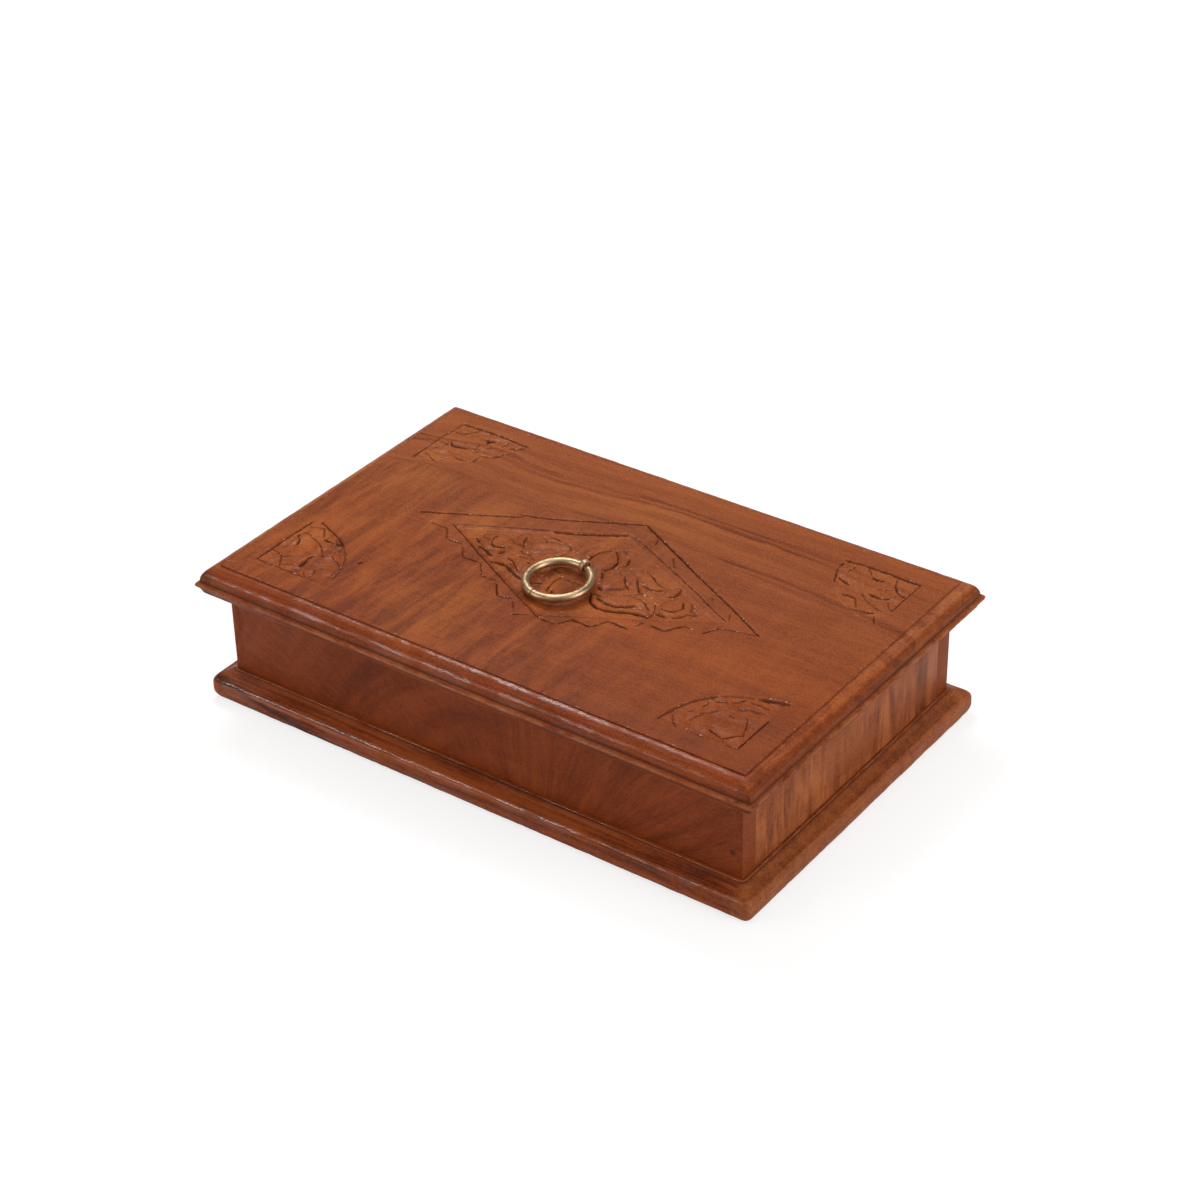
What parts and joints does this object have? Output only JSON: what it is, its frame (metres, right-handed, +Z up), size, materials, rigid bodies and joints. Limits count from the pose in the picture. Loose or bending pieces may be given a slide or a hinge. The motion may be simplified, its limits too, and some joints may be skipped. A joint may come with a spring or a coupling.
{
  "type": "lidded keepsake box",
  "caption": "Flat-lidded hardwood box with moulded lid and base edges, carved lid, rear hinges and a brass ring pull that swings in its eye.",
  "frame": {"origin": "middle of the base board's underside, where the box rests", "axes": "+X along the box's length, -Y towards the front, which opens, +Z up"},
  "size_m": [0.305, 0.194, 0.0787],
  "materials": {
    "lid_wood": "oiled and waxed, soft sheen",
    "long_wall_wood": "oiled and waxed, soft sheen",
    "short_wall_wood": "oiled and waxed, soft sheen",
    "base_wood": "oiled and waxed, soft sheen",
    "pull_brass": "brushed, slightly dulled",
    "hinge_brass": "rolled, dulled",
    "screw_brass": "turned, dulled",
    "nail_steel": "dark, sunk under the surface"
  },
  "bodies": {
    "box": {"base_board": "base_wood", "front_wall": "long_wall_wood", "back_wall": "long_wall_wood", "left_wall": "short_wall_wood", "right_wall": "short_wall_wood", "wall_nails": "nail_steel", "base_screws": "screw_brass", "left_hinge_box_leaf": "hinge_brass", "right_hinge_box_leaf": "hinge_brass", "left_hinge_pin": "hinge_brass", "right_hinge_pin": "hinge_brass", "box_leaf_screws": "screw_brass"},
    "lid": {"lid_board": "lid_wood", "left_hinge_lid_leaf": "hinge_brass", "right_hinge_lid_leaf": "hinge_brass", "lid_leaf_screws": "screw_brass", "ring_eye": "pull_brass"},
    "ring": {"ring_pull": "pull_brass"}
  },
  "joints": [
    {"name": "lid_hinge", "type": "hinge", "parent": "box", "child": "lid", "pos_m": [0, 0.08805, 0.058], "axis": [-1, 0, 0], "range_deg": [0, 100]},
    {"name": "ring_swing", "type": "hinge", "parent": "lid", "child": "ring", "pos_m": [0, -0.0008, 0.0754], "axis": [-0.9489, 0.3156, 0], "range_deg": [0, 174]}
  ]
}
